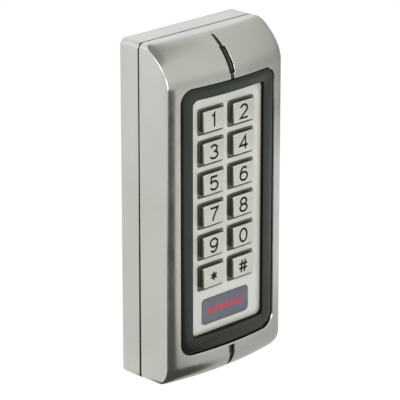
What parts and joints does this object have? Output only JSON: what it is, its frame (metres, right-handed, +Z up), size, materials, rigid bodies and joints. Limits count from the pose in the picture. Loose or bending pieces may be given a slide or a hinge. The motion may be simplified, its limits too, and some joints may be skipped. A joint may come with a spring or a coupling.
{
  "type": "rfid card reader",
  "caption": "Narrow metal wall reader: a rear box and a crowned front shell round a dark bezel, with a plate of raised sprung keys, a label panel and a light window in a top groove.",
  "frame": {"origin": "centre of the flat back of the rear housing, where it lies against the wall", "axes": "+Z up, +Y into the wall, so the front faces -Y; +X to the right as a user faces it"},
  "size_m": [0.071, 0.0337, 0.156],
  "materials": {
    "satin_nickel": "satin nickel-plated zinc alloy casting",
    "brushed_plate": "fine brushed",
    "key_metal": "satin",
    "dark_bezel": "green-black, semi-matt",
    "black_rubber": "matt",
    "grey_silicone": "matt",
    "screw_steel": "plain steel",
    "circuit_green": "solder resist on glass fibre board",
    "antenna_copper": "enamelled copper wire",
    "smoked_lens": "smoked, polished",
    "label_slate": "blue-grey printed film",
    "lamp_red": "clear red",
    "lamp_amber": "clear amber",
    "lamp_green": "clear green",
    "relay_case": "moulded",
    "chip_black": "moulded",
    "capacitor_can": "bare can",
    "buzzer_black": "moulded",
    "terminal_green": "moulded",
    "sensor_clear": "clear resin"
  },
  "bodies": {
    "reader": {"rear_housing": "satin_nickel", "front_housing": "satin_nickel", "seam_seal": "black_rubber", "cable_grommet": "black_rubber", "case_screw_1": "screw_steel", "case_screw_2": "screw_steel", "bezel_frame": "dark_bezel", "keypad_plate": "brushed_plate", "label": "label_slate", "light_window": "smoked_lens", "key_mat": "grey_silicone", "circuit_board": "circuit_green", "board_screw_1": "screw_steel", "board_screw_2": "screw_steel", "board_screw_3": "screw_steel", "board_screw_4": "screw_steel", "antenna_coil": "antenna_copper", "status_led_red": "lamp_red", "status_led_amber": "lamp_amber", "status_led_green": "lamp_green", "relay": "relay_case", "controller_chip": "chip_black", "reader_chip": "chip_black", "voltage_regulator": "chip_black", "capacitor_1": "capacitor_can", "capacitor_2": "capacitor_can", "buzzer": "buzzer_black", "terminal_block": "terminal_green", "tamper_light_sensor": "sensor_clear"},
    "key_1": {"key_1": "key_metal"},
    "key_2": {"key_2": "key_metal"},
    "key_3": {"key_3": "key_metal"},
    "key_4": {"key_4": "key_metal"},
    "key_5": {"key_5": "key_metal"},
    "key_6": {"key_6": "key_metal"},
    "key_7": {"key_7": "key_metal"},
    "key_8": {"key_8": "key_metal"},
    "key_9": {"key_9": "key_metal"},
    "key_0": {"key_0": "key_metal"},
    "key_star": {"key_star": "key_metal"},
    "key_hash": {"key_hash": "key_metal"}
  },
  "joints": [
    {"name": "key_1_press", "type": "slide", "parent": "reader", "child": "key_1", "axis": [0, 1, 0], "range_m": [0, 0.001], "stiffness_N_per_m": 1800},
    {"name": "key_2_press", "type": "slide", "parent": "reader", "child": "key_2", "axis": [0, 1, 0], "range_m": [0, 0.001], "stiffness_N_per_m": 1800},
    {"name": "key_3_press", "type": "slide", "parent": "reader", "child": "key_3", "axis": [0, 1, 0], "range_m": [0, 0.001], "stiffness_N_per_m": 1800},
    {"name": "key_4_press", "type": "slide", "parent": "reader", "child": "key_4", "axis": [0, 1, 0], "range_m": [0, 0.001], "stiffness_N_per_m": 1800},
    {"name": "key_5_press", "type": "slide", "parent": "reader", "child": "key_5", "axis": [0, 1, 0], "range_m": [0, 0.001], "stiffness_N_per_m": 1800},
    {"name": "key_6_press", "type": "slide", "parent": "reader", "child": "key_6", "axis": [0, 1, 0], "range_m": [0, 0.001], "stiffness_N_per_m": 1800},
    {"name": "key_7_press", "type": "slide", "parent": "reader", "child": "key_7", "axis": [0, 1, 0], "range_m": [0, 0.001], "stiffness_N_per_m": 1800},
    {"name": "key_8_press", "type": "slide", "parent": "reader", "child": "key_8", "axis": [0, 1, 0], "range_m": [0, 0.001], "stiffness_N_per_m": 1800},
    {"name": "key_9_press", "type": "slide", "parent": "reader", "child": "key_9", "axis": [0, 1, 0], "range_m": [0, 0.001], "stiffness_N_per_m": 1800},
    {"name": "key_0_press", "type": "slide", "parent": "reader", "child": "key_0", "axis": [0, 1, 0], "range_m": [0, 0.001], "stiffness_N_per_m": 1800},
    {"name": "key_star_press", "type": "slide", "parent": "reader", "child": "key_star", "axis": [0, 1, 0], "range_m": [0, 0.001], "stiffness_N_per_m": 1800},
    {"name": "key_hash_press", "type": "slide", "parent": "reader", "child": "key_hash", "axis": [0, 1, 0], "range_m": [0, 0.001], "stiffness_N_per_m": 1800}
  ]
}
